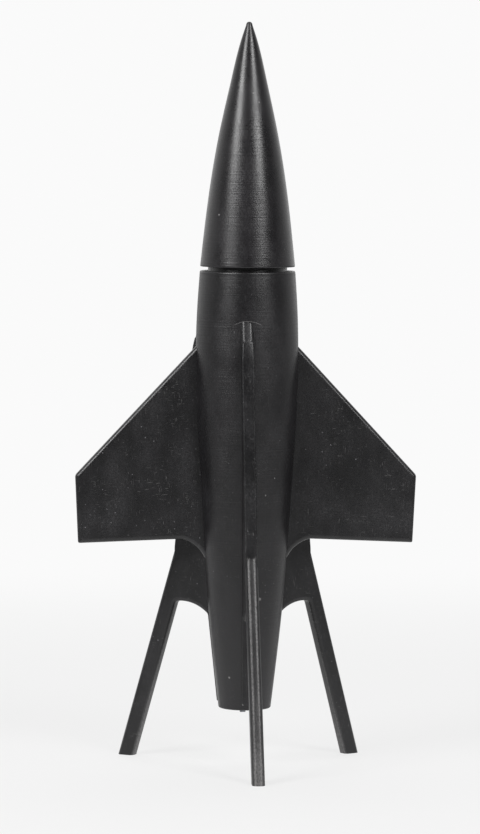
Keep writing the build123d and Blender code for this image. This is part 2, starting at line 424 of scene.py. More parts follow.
@dataclass(frozen=True)
class Lacquer:
    """Black satin lacquer over wood, with tool marks, scuffs, dust, rubbed edges and nicks, and painted
    highlights along rims and over a ridge.

    Attributes:
        name: the material's name.
        marks: which tool marks show through.
        colour: the lacquer itself.
        worn_and_highlight: pale colour where the lacquer is rubbed, scratched or nicked, also used for the
            painted highlights.
        dust: specks and haze on top.
        roughness: middle of the roughness range.
        haze: how much dust the cloudy patches carry.
        scratches: strength of the fine scratches.
        specks: strength and number of the dust specks.
        edge_wear_and_highlight: strength of the painted highlight streaks and rubbing on rims above the
            struts, and on the struts.
        strut_top: height under which a rim belongs to a strut.
        rubbed_height: how far up from the ground the struts' whole rims are rubbed.
        chips: nicks as (x, y, z, radius), in metres.
        ridge_highlights: thin light arches painted as the highlight of a raised lacquer ridge, as (x, y,
            z, radius), in metres.
    """

    name: str
    marks: Marks
    colour: Triple = (0.0040, 0.0038, 0.0044)
    worn_and_highlight: Triple = (0.20, 0.195, 0.195)
    dust: Triple = (0.30, 0.29, 0.31)
    roughness: float = 0.30
    haze: float = 0.010
    scratches: float = 0.5
    specks: float = 0.5
    edge_wear_and_highlight: Pair = (0.0, 0.0)
    strut_top: float = 0.0860
    rubbed_height: float = 0.065
    chips: tuple[Spot, ...] = ()
    ridge_highlights: tuple[Spot, ...] = ()

    def material(self) -> bpy.types.Material:
        """Build the node material.

        Returns:
            A material whose colour, roughness and bump all vary over the piece.
        """
        g = Graph(self.name)
        cloud = g.noise(g.stretched((1, 1, 0.6)), 60.0, 6.0, 0.62)
        broad = g.noise(g.stretched((1, 1, 1)), 24.0, 3.0, 0.6)
        fine = g.noise(g.stretched((1, 1, 1)), 950.0, 3.0, 0.65)
        scratch = self.scratch_mask(g)
        speck = self.speck_mask(g)
        # bare holds real nicks and painted highlights: light streaks along the rims and a light arch over
        # the front leg's top
        bare_and_highlight = g.largest(self.edge_wear_and_highlight_mask(g), self.chip_mask(g), self.ridge_highlight_mask(g))
        base = g.mix(g.ramp(cloud, 0.35, 0.65), (*self.colour, 1), (*[c * 1.5 for c in self.colour], 1))
        dusty = g.math("MULTIPLY", g.ramp(cloud, 0.38, 0.70), g.ramp(fine, 0.38, 0.68, 0.1, 1.0))
        dusty = g.math("MULTIPLY", dusty, g.ramp(broad, 0.38, 0.64, 0.4, 1.7))
        colour = g.mix(g.math("MULTIPLY", dusty, self.haze), base, (*self.dust, 1))
        colour = g.mix(g.math("MULTIPLY", scratch, 0.28), colour, (*self.worn_and_highlight, 1))
        colour = g.mix(speck, colour, (*self.dust, 1))
        # the painted highlights and the nicks take the same pale colour
        colour = g.mix(bare_and_highlight, colour, (*self.worn_and_highlight, 1))
        g.set(g.shader, "Base Color", colour)
        rough = g.ramp(cloud, 0.25, 0.75, self.roughness - 0.05, self.roughness + 0.07)
        rough = g.math("ADD", rough, g.ramp(fine, 0.3, 0.7, -0.03, 0.05))
        rough = g.math("ADD", rough, g.math("MULTIPLY", scratch, 0.12))
        rough = g.math("ADD", rough, g.math("MULTIPLY", g.largest(bare_and_highlight, speck), 0.15), clamp=True)
        g.set(g.shader, "Roughness", rough)
        g.set(g.shader, "IOR", 1.53)
        normal = g.bump(self.tool_marks(g), 0.00009)
        normal = g.bump(g.math("ADD", fine, g.math("SUBTRACT", bare_and_highlight, scratch)), 0.00002, normal)
        g.set(g.shader, "Normal", normal)
        return g.material

    def tool_marks(self, g: Graph) -> Socket:
        """Make the height of the marks that the tool left.

        Rings and grain are noises stretched along and across the axis, each about its middle
        value; sheet has slanted sanding streaks and shallow dents.

        Args:
            g: the material's nodes.

        Returns:
            The height for a bump.
        """
        if self.marks is Marks.LATHE:
            rings = g.noise(g.stretched((9, 9, 1300)), 1.0, 4.0, 0.65)
            grain = g.noise(g.stretched((520, 520, 12)), 1.0, 3.0, 0.55)
            patch = g.ramp(g.noise(g.stretched((1, 1, 1)), 38.0, 2.0), 0.36, 0.62, 0.25, 1.0)
            rings = g.math("MULTIPLY", g.math("SUBTRACT", rings, 0.5), 1.6)
            grain = g.math("MULTIPLY", g.math("SUBTRACT", grain, 0.5), 0.5)
            return g.math("MULTIPLY", g.math("ADD", rings, grain), patch)
        sanding = g.noise(g.stretched((260, 260, 50), (0, 0.35, 0)), 1.0, 5.0, 0.65)
        dents = g.noise(g.stretched((1, 1, 1)), 170.0, 4.0, 0.6)
        return g.math("ADD", g.math("MULTIPLY", sanding, 0.5), g.math("MULTIPLY", dents, 0.6))

    def scratch_mask(self, g: Graph) -> Socket:
        """Draw thin, short lines in several directions, broken up by patches.

        Args:
            g: the material's nodes.

        Returns:
            1 on a scratch, down to 0 off it.
        """
        masks = []
        fields = (
            ((0, 0.45, 0), (260, 260, 1500)),
            ((0, -0.8, 0), (1500, 1500, 240)),
            ((0.2, 1.15, 0), (300, 300, 1700)),
            ((0.1, -0.22, 0.1), (1700, 1700, 210)),
        )
        for turn, stretch in fields:
            streak = g.noise(g.stretched(stretch, turn), 1.0, 2.0, 0.5)
            masks.append(g.ramp(streak, 0.655, 0.76))
        patch = g.ramp(g.noise(g.stretched((1, 1, 1)), 85.0, 3.0), 0.40, 0.68, 0.1, self.scratches)
        return g.math("MULTIPLY", g.largest(*masks), patch)

    def speck_mask(self, g: Graph) -> Socket:
        """Scatter dust specks of two sizes: the cores of rare cells, each with its own strength.

        Args:
            g: the material's nodes.

        Returns:
            The specks' strength, 0 between them.
        """
        masks = []
        for scale, chance in ((430.0, 0.94), (900.0, 0.96)):
            cells = g.node("TexVoronoi", {"Vector": g.place, "Scale": scale, "Randomness": 1.0})
            core = g.ramp(cells.outputs["Distance"], 0.08, 0.20, 1.0, 0.0)
            split = g.node("SeparateColor", {0: cells.outputs["Color"]})
            least = chance - 0.05 * self.specks
            rare = g.ramp(split.outputs[0], least, least + 0.01)
            strength = g.ramp(split.outputs[1], 0.0, 1.0, 0.05, 0.6)
            masks.append(g.math("MULTIPLY", g.math("MULTIPLY", core, rare), strength))
        patch = g.ramp(g.noise(g.stretched((1, 1, 1)), 45.0, 2.0), 0.36, 0.62, 0.1, 1.0)
        return g.math("MULTIPLY", g.largest(*masks), g.math("MULTIPLY", patch, self.specks))

    def edge_wear_and_highlight_mask(self, g: Graph) -> Value:
        """Paint light streaks along the rims, from their attributes: painted highlights that also stand
        for rubbed lacquer, broken up by noise and much stronger down the struts.

        Near the ground the struts are rubbed over the whole rim, not only along its line.

        Args:
            g: the material's nodes.

        Returns:
            1 on the painted highlight streaks and on rubbed lacquer, down to 0 elsewhere.
        """
        if max(self.edge_wear_and_highlight) <= 0:
            return 0.0
        broken = g.noise(g.stretched((1, 1, 0.45)), 1500.0, 4.0, 0.7)
        long_patches = g.noise(g.stretched((1, 1, 1)), 26.0, 2.0, 0.5)
        height = g.axis(2)
        above, below = self.edge_wear_and_highlight
        strength = g.ramp(height, self.strut_top - 0.0006, self.strut_top + 0.0006, below, above)
        rubbed = g.ramp(height, GROUND, GROUND + self.rubbed_height, 0.65, 0.0)
        kept = g.largest(g.ramp(long_patches, 0.34, 0.62, 0.6, 1.0), g.math("MULTIPLY", rubbed, 1.8))
        share = g.largest(g.attribute("edge"), g.math("MULTIPLY", g.attribute("rim"), rubbed))
        amount = g.math("MULTIPLY", share, g.ramp(broken, 0.34, 0.64, 0.3, 1.0))
        return g.math("MULTIPLY", g.math("MULTIPLY", amount, kept), strength)

    def chip_mask(self, g: Graph) -> Value:
        """Make ragged nicks: where the ragged distance from a chip's place is within its radius.

        Args:
            g: the material's nodes.

        Returns:
            The nicks' strength, 0 outside them.
        """
        if not self.chips:
            return 0.0
        ragged = g.noise(g.stretched((1, 1, 1)), 1300.0, 3.0, 0.7)
        masks = []
        for *place, radius in self.chips:
            away = g.math("ADD", g.distance(tuple(place)), g.math("MULTIPLY", ragged, radius))
            masks.append(g.ramp(away, radius, radius * 1.35, 0.8, 0.0))
        return g.largest(*masks)

    def ridge_highlight_mask(self, g: Graph) -> Value:
        """Paint thin ragged light arches, the painted highlight of a lacquer ridge, where the piece meets
        the upper part of a sphere.

        An arch is where the distance from the sphere's centre differs from its radius by less
        than a fraction of a millimetre.

        Args:
            g: the material's nodes.

        Returns:
            The arches' strength, 0 off them.
        """
        if not self.ridge_highlights:
            return 0.0
        ragged = g.noise(g.stretched((1, 1, 1)), 1300.0, 3.0, 0.7)
        masks = []
        for x, y, z, radius in self.ridge_highlights:
            off = g.math("ABSOLUTE", g.math("SUBTRACT", g.distance((x, y, z)), radius))
            off = g.math("ADD", off, g.math("MULTIPLY", ragged, 0.00035))
            # only the upper part, which faces the lights, gets the painted highlight
            upper = g.ramp(g.axis(2), z + 0.80 * radius, z + 0.92 * radius)
            masks.append(g.math("MULTIPLY", g.ramp(off, 0.00022, 0.00040, 0.45, 0.0), upper))
        return g.largest(*masks)


@dataclass(frozen=True)
class Grained:
    """Bare wood, plywood or spiral paper: two tones along a stretched noise."""

    name: str
    light: Triple
    dark: Triple
    stretch: Triple
    roughness: float = 0.65
    depth: float = 0.00008

    def material(self) -> bpy.types.Material:
        """Build the node material.

        Returns:
            A material of two tones and a fine relief.
        """
        g = Graph(self.name)
        grain = g.noise(g.stretched(self.stretch), 1.0, 6.0, 0.6)
        fibre = g.noise(g.stretched((1, 1, 1)), 1400.0, 3.0, 0.6)
        tone = g.ramp(g.math("ADD", grain, g.math("MULTIPLY", fibre, 0.15)), 0.4, 0.72)
        g.set(g.shader, "Base Color", g.mix(tone, (*self.light, 1), (*self.dark, 1)))
        g.set(g.shader, "Roughness", g.ramp(fibre, 0.2, 0.8, self.roughness - 0.08, self.roughness + 0.1))
        g.set(g.shader, "Normal", g.bump(grain, self.depth))
        return g.material


@dataclass(frozen=True)
class Metal:
    """Drawn steel with fine lines and slight tarnish."""

    name: str
    colour: Triple
    roughness: float = 0.28
    tarnish: float = 0.62

    def material(self) -> bpy.types.Material:
        """Build the node material.

        Returns:
            A metal whose tint and gloss vary with its tarnish.
        """
        g = Graph(self.name)
        drawn = g.noise(g.stretched((1800, 1800, 60)), 1.0, 4.0, 0.6)
        tarnish = g.noise(g.stretched((1, 1, 1)), 260.0, 4.0, 0.6)
        dull = [c * self.tarnish for c in self.colour]
        g.set(g.shader, "Base Color", g.mix(g.ramp(tarnish, 0.4, 0.7), (*self.colour, 1), (*dull, 1)))
        g.set(g.shader, "Metallic", 1.0)
        rough = g.ramp(tarnish, 0.3, 0.7, self.roughness - 0.06, self.roughness + 0.12)
        g.set(g.shader, "Roughness", rough)
        g.set(g.shader, "Normal", g.bump(drawn, 0.00002))
        return g.material


# ------------------------------------------------------------------ turned pieces


@dataclass
class TurnedBody:
    """The hollow body shell, with the notch for the motor hook at its tail.

    Stations are (radius, height above the ground), and all sizes are in millimetres.
    """

    stations: list[Pair] = field(default_factory=lambda: [
        (26.2, 272.9), (27.45, 254.3), (28.1, 236.0), (26.8, 180.0),
        (22.7, 117.4), (20.2, 84.4), (17.5, 58.5), (14.4, 31.6),
    ])
    wall: float = 3.0
    bay_radius: float = 22.3
    bay_floor: float = 146.0
    tail_bore: float = 12.4
    cavity_floor: float = 58.5
    rim: float = 0.4
    tail_round: Pair = (0.1, 0.25)
    top_round: Pair = (0.15, 0.22)
    columns: int = 320
    outer_skin: float = 1.5
    notch_half_width: float = 1.9
    notch_top: float = 47.0
    notch_ceiling: float = 64.5
    notch_depth: float = 16.25

    def outside(self, count: int = 220) -> np.ndarray:
        """The outside profile from the top to the tail, on ground heights in millimetres."""
        return natural_spline(self.stations, count)

    def radius(self, height: np.ndarray) -> np.ndarray:
        """Outside radius at a ground height."""
        curve = self.outside()[::-1]
        return np.interp(height, curve[:, 1], curve[:, 0])

    def section(self) -> np.ndarray:
        """Join the outside, the tail rim, the tail bore, the tapered cavity, the bay and the top rim.

        Returns:
            The points (radius, height) of the closed section.
        """
        curve = self.outside()
        top, tail = curve[0], curve[-1]
        curve = curve[(curve[:, 1] < top[1] - self.rim) & (curve[:, 1] > tail[1] + self.rim)]
        tail_middle = (tail[0] - self.tail_round[0], tail[1] + self.tail_round[1])
        tail_rim = arc(tuple(curve[-1]), tail_middle, (tail[0] - self.rim, tail[1]), 5)
        cavity_z = np.linspace(self.cavity_floor, self.bay_floor, 30)
        cavity = np.column_stack([self.radius(cavity_z) - self.wall, cavity_z])
        inside = [
            [tail[0] - self.rim, tail[1]],
            [self.tail_bore, tail[1]],
            [self.tail_bore, self.cavity_floor],
            *cavity,
            [self.bay_radius, self.bay_floor],
            [self.bay_radius, top[1]],
            [top[0] - self.rim, top[1]],
        ]
        top_middle = (top[0] - self.top_round[0], top[1] - self.top_round[1])
        top_rim = arc((top[0] - self.rim, top[1]), top_middle, tuple(curve[0]), 5)[1:]
        return np.vstack([curve[:-1], tail_rim, inside, top_rim])

    def notched(self, section: np.ndarray) -> np.ndarray:
        """Draw the tail up to the notch's faces, where the notch cuts the section.

        Args:
            section: the points (radius, height) of the whole section.

        Returns:
            As many points, for the section in the notch.
        """
        low = section.copy()
        is_outside = section[:, 0] >= self.radius(section[:, 1]) - self.outer_skin
        tail_part = section[:, 1] < self.notch_top
        low[is_outside & tail_part] = (self.radius(np.array(self.notch_top)), self.notch_top)
        low[~is_outside & tail_part] = (self.notch_depth, self.notch_top)
        upper = ~is_outside & (section[:, 1] >= self.notch_top) & (section[:, 1] < self.notch_ceiling)
        low[upper] = (self.notch_depth, self.notch_ceiling)
        return low

    def build(self, material: bpy.types.Material) -> None:
        """Make the shell: the section goes once round, and changes to the notched one behind.

        A vertex is (radius cos a, radius sin a, height), with close steps of a in the notch.

        Args:
            material: the body's finish.
        """
        section = self.section()
        half = math.asin(self.notch_half_width / self.notch_depth)
        sliver = 1e-4
        plain = np.linspace(math.pi / 2 + half + sliver, math.pi / 2 + TAU - half - sliver, self.columns)
        cut = np.linspace(math.pi / 2 - half, math.pi / 2 + half, 9)
        angle = np.concatenate([plain, cut + TAU])
        in_cut = np.concatenate([np.zeros(len(plain), bool), np.ones(len(cut), bool)])
        pair = np.where(in_cut[None, :, None], self.notched(section)[:, None], section[:, None])
        x = pair[..., 0] * np.cos(angle)
        y = pair[..., 0] * np.sin(angle)
        z = pair[..., 1]
        vertices = np.stack([x, y, z], axis=2).reshape(-1, 3) * MM + np.array([0, 0, GROUND])
        faces = grid_faces(len(section), len(angle), True).tolist()
        piece = make_object("body_turned_shell", vertices, faces)
        finish_piece(piece, Body.AIRFRAME, material, "black_lacquered_body", "body_shell")


@dataclass
class TurnedNose:
    """The nose cone and the shoulder that slides in the body.

    Stations are (radius, height above the ground), and all sizes are in millimetres.
    """

    stations: list[Pair] = field(default_factory=lambda: [
        (26.1, 275.3), (22.0, 311.5), (15.5, 351.1), (9.7, 377.5), (4.3, 399.5), (1.75, 407.2),
    ])
    tip: float = 409.1
    wall: float = 3.0
    rim: float = 0.35
    base_round: Pair = (0.15, 0.25)
    socket: float = 10.0
    shoulder_radius: float = 21.75
    shoulder_wall: float = 3.0
    shoulder_bottom: float = 240.0
    shoulder_ease: float = 0.6
    cavity_top: float = 372.0
    cavity_top_radius: float = 8.0
    columns: int = 320
    shoulder_columns: int = 192

    def cone_section(self) -> np.ndarray:
        """Join the base rim, the outside, the round tip, the cavity and the shoulder's socket.

        The tip is a quarter of an ellipse from the last station to the axis.

        Returns:
            The points (radius, height) of the closed section.
        """
        curve = natural_spline(self.stations, 200)
        base = curve[0]
        curve = curve[curve[:, 1] > base[1] + self.rim]
        end = curve[-1]
        turn = np.linspace(0, math.pi / 2, 12)
        cap = np.column_stack([end[0] * np.cos(turn), end[1] + (self.tip - end[1]) * np.sin(turn)])
        base_middle = (base[0] - self.base_round[0], base[1] + self.base_round[1])
        rim = arc((base[0] - self.rim, base[1]), base_middle, tuple(curve[0]), 5)
        inner_stations = [(radius - self.wall, height) for radius, height in self.stations[:3]]
        inner = natural_spline([*inner_stations, (self.cavity_top_radius, self.cavity_top)], 40)
        inner = inner[inner[:, 1] > base[1] + self.socket]
        inside = np.array([
            [0, self.cavity_top],
            *inner[::-1],
            [inner[0][0], base[1] + self.socket],
            [self.shoulder_radius, base[1] + self.socket],
            [self.shoulder_radius, base[1]],
        ])
        return np.vstack([rim, curve[:-1], cap, inside])

    def shoulder_section(self) -> np.ndarray:
        """A tube's wall from the shoulder's bottom to the top of the socket, with eased corners."""
        outer = self.shoulder_radius
        inner = outer - self.shoulder_wall
        bottom, top = self.shoulder_bottom, self.stations[0][1] + self.socket
        corners = [(inner, bottom), (outer, bottom), (outer, top), (inner, top)]
        return eased(corners, self.shoulder_ease)

    def build(self, material: bpy.types.Material) -> None:
        """Make both turned pieces.

        Args:
            material: the nose's finish.
        """
        pieces = (
            ("nose_turned_cone", self.cone_section(), self.columns, "nose_cone"),
            ("nose_turned_shoulder", self.shoulder_section(), self.shoulder_columns, "nose_shoulder"),
        )
        for name, section, columns, node in pieces:
            piece = revolve(name, section * MM + np.array([0, GROUND]), columns)
            finish_piece(piece, Body.NOSE, material, "black_lacquered_nose", node)


# ------------------------------------------------------------------ flat plates


@dataclass(frozen=True)
class Corner:
    """A corner of a plate's outline, and the edge that runs on from it.

    Attributes:
        reach: distance from the rocket's axis, in millimetres.
        height: height above the ground, in millimetres.
        bend: radius of the corner, seen on the plate's flat face.
        rim: radius of the rounding along the edge that follows.
    """

    reach: float
    height: float
    bend: float
    rim: float


@dataclass
class Outline:
    """A closed outline of straight edges and round corners that can be moved inwards.

    The corners run anticlockwise, with reach to the right and height upwards, or clockwise.

    Attributes:
        corners: the corners in order.
        spacing: distance between samples on straight edges, in millimetres.
        bend_steps: samples on each round corner.
        least_bend: the smallest radius a round corner shrinks to, so that no two samples meet.
    """

    corners: list[Corner]
    spacing: float = 1.3
    bend_steps: int = 9
    least_bend: float = 0.02

    def rims(self) -> np.ndarray:
        """Rim radius of the edge after each corner."""
        return np.array([corner.rim for corner in self.corners])

    def moved_in(self, inset: np.ndarray) -> np.ndarray:
        """Sample the outline with each edge moved inwards by its own distance.

        With unit inward normals m and n of the edges before and after a corner, moved by d and e,
        and c = m . n, the corner moves by (d (m - c n) + e (n - c m)) / (1 - c c). A bend that
        points outwards loses the mean distance from its radius, and one that points inwards gains it.
        With half the angle h between the sides, a bend of radius r touches them at r / tan h, and
        its centre is r / sin h away along their middle.

        Args:
            inset: the distance for the edge after each corner.

        Returns:
            The points (reach, height); their number doesn't depend on the distances.
        """
        points = np.array([(corner.reach, corner.height) for corner in self.corners])
        bends = np.array([corner.bend for corner in self.corners])
        following = np.roll(points, -1, axis=0)
        along = (following - points) / np.linalg.norm(following - points, axis=1)[:, None]
        area = np.sum(points[:, 0] * following[:, 1] - following[:, 0] * points[:, 1])
        normal = np.column_stack([-along[:, 1], along[:, 0]]) * np.sign(area)
        before = np.roll(normal, 1, axis=0)
        distance = np.roll(inset, 1)
        cosine = np.sum(before * normal, axis=1)[:, None]
        step = distance[:, None] * (before - cosine * normal) + inset[:, None] * (normal - cosine * before)
        moved = points + step / np.maximum(1 - cosine**2, 1e-12)
        back, ahead = -np.roll(along, 1, axis=0), along
        outward = np.sign(np.sum(back * normal, axis=1))
        radius = np.maximum(bends - outward * (inset + distance) / 2, self.least_bend) * (bends > 0)
        half = np.arccos(np.clip(np.sum(back * ahead, axis=1), -1, 1)) / 2
        middle = (back + ahead) / np.maximum(np.linalg.norm(back + ahead, axis=1), 1e-9)[:, None]
        touch = (radius / np.tan(half))[:, None]
        centre = moved + middle * (radius / np.sin(half))[:, None]
        enter, leave = moved + back * touch, moved + ahead * touch
        return self.sampled(enter, centre, leave, radius, np.linalg.norm(following - points, axis=1))

    def sampled(
        self,
        enter: np.ndarray,
        centre: np.ndarray,
        leave: np.ndarray,
        radius: np.ndarray,
        sides: np.ndarray,
    ) -> np.ndarray:
        """Sample every bend and every straight edge, from where they touch.

        Args:
            enter: where each bend begins.
            centre: the middle of each bend.
            leave: where each bend ends.
            radius: the radius of each bend.
            sides: the length of the edge after each corner, which sets its number of samples.

        Returns:
            The points (reach, height) in order.
        """
        share = np.linspace(0, 1, self.bend_steps)[None, :, None]
        spoke = (enter - centre)[:, None] * (1 - share) + (leave - centre)[:, None] * share
        spoke /= np.maximum(np.linalg.norm(spoke, axis=2, keepdims=True), 1e-9)
        bends = centre[:, None] + spoke * radius[:, None, None]
        pieces = []
        for index, corner in enumerate(self.corners):
            target = tuple(enter[(index + 1) % len(enter)])
            pieces.append(bends[index] if corner.bend > 0 else enter[index : index + 1])
            pieces.append(line(tuple(leave[index]), target, max(int(sides[index] / self.spacing), 1))[1:])
        return np.vstack(pieces)

    def spread(self, values: np.ndarray) -> np.ndarray:
        """Repeat one value for each corner over the samples that belong to it.

        Args:
            values: one value for each corner.

        Returns:
            One value for each sample.
        """
        following = np.roll(np.array([(c.reach, c.height) for c in self.corners]), -1, axis=0)
        here = np.array([(c.reach, c.height) for c in self.corners])
        straight = np.maximum((np.linalg.norm(following - here, axis=1) / self.spacing).astype(int), 1) - 1
        bend = np.array([self.bend_steps if corner.bend > 0 else 1 for corner in self.corners])
        return np.repeat(values, straight + bend)


@dataclass
class Plate:
    """A flat plate cut from sheet, with rounded rims, made of one or more outlines.

    Attributes:
        name: the piece's name.
        node: the CAD node that it replaces.
        parts: the outlines and their thicknesses, in millimetres.
        place: how the plate stands, from its own plane of reach and height.
        rim_steps: rows on each rounded rim.
        flat_band: width of the flat row beside the rim, in millimetres.
        highlight_streak_at: angle on the rim at which the painted highlight streak, also rubbed lacquer,
            is strongest, in radians.
        highlight_streak_width: how far that streak spreads round that angle, in radians.
        streaked_and_rubbed_rim: only rims with a larger radius than this carry the streak and the rubbing,
            in millimetres.
    """

    name: str
    node: str
    parts: list[tuple[Outline, float]]
    place: Matrix
    rim_steps: int = 10
    flat_band: float = 0.3
    highlight_streak_at: float = 0.30
    highlight_streak_width: float = 0.20
    streaked_and_rubbed_rim: float = 2.0

    def solid(self, outline: Outline, thickness: float, first: int) -> tuple[np.ndarray, list, np.ndarray]:
        """Work out one closed piece of the plate.

        On a rim of radius R the inset is R (1 - cos a) and the depth is half the thickness less
        R (1 - sin a), for a from 0 at the outermost line to a right angle at the flat face.
        The painted highlight streak, which also stands for rubbed lacquer, is strongest just off the
        outermost line; the second column is 1 on the whole rim.

        Args:
            outline: the outline of the piece.
            thickness: its thickness, in millimetres.
            first: number of its first vertex in the plate.

        Returns:
            The vertices, the faces, and the two columns of rubbing and painted highlight.
        """
        turn = np.linspace(0, math.pi / 2, self.rim_steps)[:, None]
        rims = outline.rims()
        inset = np.vstack([rims * (1 - np.cos(turn)), rims + self.flat_band])
        flat = np.stack([outline.moved_in(row) for row in inset])
        rim = outline.spread(rims)
        depth = np.vstack([thickness / 2 - rim * (1 - np.sin(turn)), np.full_like(rim, thickness / 2)])
        # the first column paints a highlight streak along each wide rim, at the angle where the lights
        # glint
        wear_and_highlight = np.exp(-(((turn - self.highlight_streak_at) / self.highlight_streak_width) ** 2)) * (rim > self.streaked_and_rubbed_rim)
        whole = np.clip(2 - 2 * turn, 0, 1) * (rim > self.streaked_and_rubbed_rim)
        wear_and_highlight = np.stack([np.vstack([part, np.zeros_like(rim)]) for part in (wear_and_highlight, whole)], axis=2)
        flat = np.concatenate([flat[::-1], flat])
        depth = np.concatenate([-depth[::-1], depth])
        wear_and_highlight = np.concatenate([wear_and_highlight[::-1], wear_and_highlight])
        vertices = np.stack([flat[..., 0], depth, flat[..., 1]], axis=2).reshape(-1, 3)
        rows, count = depth.shape
        numbers = np.arange(first, first + rows * count)
        faces = (grid_faces(rows, count, False) + first).tolist()
        faces.append(numbers[:count].tolist())
        faces.append(numbers[:-count - 1:-1].tolist())
        return vertices, faces, wear_and_highlight.reshape(-1, 2)

    def build(self, material: bpy.types.Material, slot: str) -> None:
        """Make the plate, put it in place, trim it level at the ground and dress it.

        Args:
            material: the plate's finish.
            slot: not used.
        """
        vertices, faces, wear_and_highlight = np.zeros((0, 3)), [], np.zeros((0, 2))
        for outline, thickness in self.parts:
            more, sides, worn_and_highlight = self.solid(outline, thickness, len(vertices))
            faces += sides
            vertices = np.vstack([vertices, more])
            wear_and_highlight = np.concatenate([wear_and_highlight, worn_and_highlight])
        turn = np.array(self.place.to_3x3())
        vertices = vertices @ turn.T + np.array(self.place.translation)
        vertices = vertices * MM + np.array([0, 0, GROUND])
        piece = make_object(self.name, vertices, faces)
        # edge: painted highlight streaks that also stand for rubbed lacquer; rim: the whole rim, rubbed
        # near the ground
        for name, values in zip(("edge", "rim"), wear_and_highlight.T):
            attribute = piece.data.attributes.new(name, "FLOAT", "POINT")
            attribute.data.foreach_set("value", values.astype(np.float32))
        trim_level(piece, GROUND)
        finish_piece(piece, Body.AIRFRAME, material, slot, self.node)


@dataclass
class Plates:
    """Two wings and three legs, all set into the turned body's wall.

    Outlines are drawn as (reach from the axis, height above the ground), in millimetres.
    """

    body: TurnedBody
    wing_thickness: float = 6.35
    leg_thickness: float = 7.0
    rim: float = 2.3
    strake_rim: float = 1.1
    strut_rim: float = 2.75
    rib_rim: float = 0.5
    rib_thinner: float = 0.1
    rib_flare: float = 4.6
    sunk: float = 2.6
    bay_side: float = 23.0
    bore_side: float = 12.9
    rear_azimuth: float = 30.0
    front_lean: float = 0.85
    front_lean_height: float = 85.0

    def root(self, *heights: float) -> list[Corner]:
        """The plate's hidden side, inside the body's wall, at a few heights."""
        height = np.array(heights)
        reach = np.clip(self.body.radius(height) - self.sunk, self.bore_side, self.bay_side)
        return [Corner(x, z, 0, self.rim) for x, z in zip(reach.tolist(), height.tolist())]

    def curve(self, points: np.ndarray) -> list[Corner]:
        """Corners along a curve that is sampled already."""
        return [Corner(x, z, 0, self.rim) for x, z in points.tolist()]

    def wing_outline(self) -> Outline:
        """Swept wing: leading edge, cropped tip, trailing edge, root arc, and the root."""
        return Outline([
            Corner(self.bay_side, 236.98, 0, self.rim),
            Corner(94.23, 160.5, 3.0, self.rim),
            Corner(92.5, 123.0, 0.9, self.rim),
            *self.curve(arc((35.5, 125.2), (28.7, 122.0), (23.0, 115.3), 24)),
            Corner(23.0, 115.3, 0, self.rim),
            *self.root(111.0, 123.0, 136.0, 148.0, 162.0),
        ])

    def leg_outline(self) -> Outline:
        """Leg: strake, strut that runs on below the ground, web arch, and the root."""
        return Outline([
            Corner(self.bay_side, 259.2, 0, self.rim),
            Corner(27.9, 245.5, 50.0, self.rim),
            Corner(32.2, 230.0, 60.0, self.strake_rim),
            Corner(42.3, 118.5, 6.0, self.strut_rim),
            Corner(78.96, -6.0, 0, self.strut_rim),
            Corner(69.26, -6.0, 0, self.rim),
            Corner(41.6, 88.2, 2.6, self.rim),
            *self.curve(arc((39.6, 88.6), (31.5, 87.7), (21.7, 82.0), 20)),
            Corner(21.7, 82.0, 0, self.rim),
            *self.root(77.6, 92.0, 104.0, 116.0, 128.0, 140.0, 152.0, 164.0),
        ])

    def rib_outline(self) -> Outline:
        """Low rib down the tail, under the leg's arch; its hidden side flares with the tail."""
        return Outline([
            Corner(24.2, 87.6, 0, self.rib_rim),
            Corner(21.3, 82.0, 3.0, self.rib_rim),
            Corner(15.5, 34.5, 0.4, self.rib_rim),
            Corner(self.bore_side, 34.5, 0, self.rib_rim),
            Corner(self.bore_side + self.rib_flare, 80.0, 0, self.rib_rim),
        ])

    def build(self, material: bpy.types.Material) -> None:
        """Make the five plates: the front leg leans a little about a line across its arch.

        Args:
            material: the plates' finish.
        """
        up = Matrix.Translation((0, 0, self.front_lean_height))
        lean = up @ Matrix.Rotation(math.radians(self.front_lean), 4, "X") @ up.inverted()
        wing = [(self.wing_outline(), self.wing_thickness)]
        leg = [
            (self.leg_outline(), self.leg_thickness),
            (self.rib_outline(), self.leg_thickness - self.rib_thinner),
        ]
        places = (
            ("right_wing", wing, 0, Matrix.Identity(4)),
            ("left_wing", wing, 180, Matrix.Identity(4)),
            ("front_leg", leg, -90, lean),
            ("rear_right_leg", leg, self.rear_azimuth, Matrix.Identity(4)),
            ("rear_left_leg", leg, 180 - self.rear_azimuth, Matrix.Identity(4)),
        )
        for node, parts, azimuth, tilt in places:
            place = Matrix.Rotation(math.radians(azimuth), 4, "Z") @ tilt
            Plate(f"{node}_plate", node, parts, place).build(material, "black_lacquered_plate")


# ------------------------------------------------------------------ fittings that keep their CAD shape


@dataclass
class Fittings:
    """Small parts whose CAD shape is right: they only get their finish."""

    finishes: dict[str, bpy.types.Material]
    nodes: dict[str, tuple[str, ...]] = field(default_factory=lambda: {
        "plywood": ("nose_bulkhead", "forward_ring", "middle_ring", "tail_ring"),
        "kraft": ("motor_tube", "blast_tube", "thrust_ring", "shoulder_stop"),
        "white": ("bay_liner",),
        "steel": ("nose_screw_eye", "anchor_screw_eye", "nose_weight", "nose_weight_screw"),
        "spring": ("motor_hook",),
        "band": ("hook_band",),
        "plate": ("upper_launch_lug", "lower_launch_lug", "upper_lug_block", "lower_lug_block"),
    })

    def dress(self) -> None:
        """Put each finish on its nodes."""
        for finish, names in self.nodes.items():
            for name in names:
                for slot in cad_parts[name].material_slots:
                    slot.material = self.finishes[finish]
                log.info("%s: %s", name, finish)


# ------------------------------------------------------------------ studio


